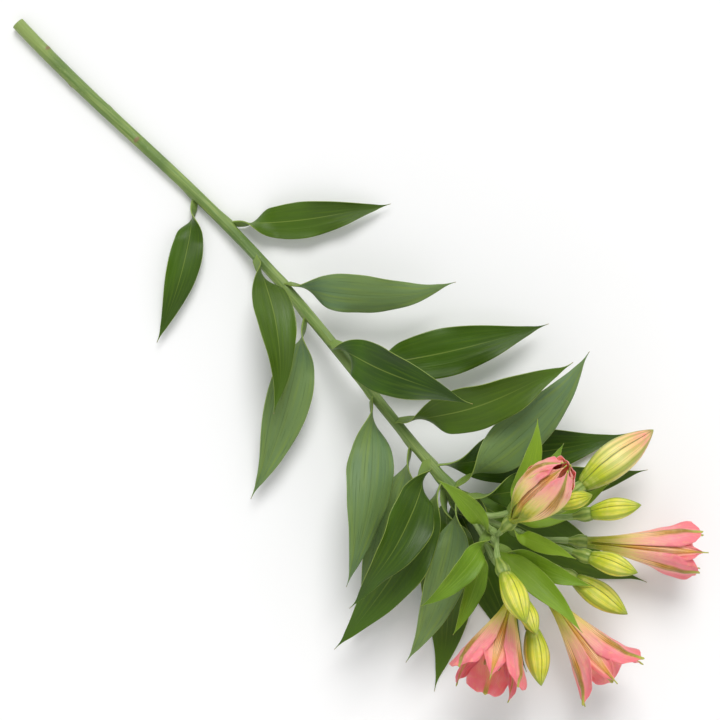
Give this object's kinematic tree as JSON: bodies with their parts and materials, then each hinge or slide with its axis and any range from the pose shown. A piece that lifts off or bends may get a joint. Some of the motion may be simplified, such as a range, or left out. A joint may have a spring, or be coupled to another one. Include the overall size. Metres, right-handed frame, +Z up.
{
  "type": "alstroemeria stem",
  "caption": "Cut alstroemeria stem lying down: a leafy green stalk that ends in an umbel of salmon-pink half-open blooms, striped yellow-green buds and small bracts.",
  "frame": {"origin": "on the surface that the stem lies on, under the middle of its bounding box", "axes": "+X along the stem from the cut end to the flowers, +Z up from the surface, +Y to the left as seen from the cut end"},
  "size_m": [0.4436, 0.192, 0.1034],
  "materials": {
    "stem": "smooth fresh green stalk, a little paler towards the cut",
    "leaf": "mid to dark green blade, glossy on one face and grey-green on the other, parallel veins",
    "stalk": "matt grey-green flower stalks and ribbed green ovaries",
    "bract": "bright yellow-green young leaf with fine pale veins",
    "bud": "yellow-green with dark green lines along it",
    "bloom": "salmon pink, cream to yellow-green at the base, with olive lines along each tepal",
    "stamen": "pale rose filaments with tan anthers"
  },
  "bodies": {
    "root": {"main_stem": "stem", "leaf_01": "leaf", "leaf_02": "leaf", "leaf_03": "leaf", "leaf_04": "leaf", "leaf_05": "leaf", "leaf_06": "leaf", "leaf_07": "leaf", "leaf_08": "leaf", "leaf_09": "leaf", "leaf_10": "leaf", "leaf_11": "leaf", "leaf_12": "leaf", "leaf_13": "leaf", "leaf_14": "leaf", "leaf_15": "leaf", "leaf_16": "leaf", "leaf_17": "leaf", "leaf_18": "leaf", "leaf_19": "leaf", "ray_a": "stalk", "ray_b": "stalk", "ray_c": "stalk", "ray_d": "stalk", "ray_e": "stalk", "bract_a1": "bract", "bract_a2": "bract", "bract_b1": "bract", "bract_c1": "bract", "bract_c2": "bract", "bract_d1": "bract", "bract_d2": "bract", "bract_e1": "bract", "bract_e2": "bract", "bud_a2": "bud", "bud_a3": "bud", "bud_b2": "bud", "bud_c2": "bud", "bud_d1": "bud", "bud_d2": "bud", "bud_d3": "bud", "bud_e2": "bud", "bloom_a1": "bloom", "bloom_b1": "bloom", "bloom_c1": "bloom", "bloom_e1": "bloom", "stamens_a1": "stamen", "stamens_b1": "stamen", "stamens_e1": "stamen"}
  },
  "joints": []
}
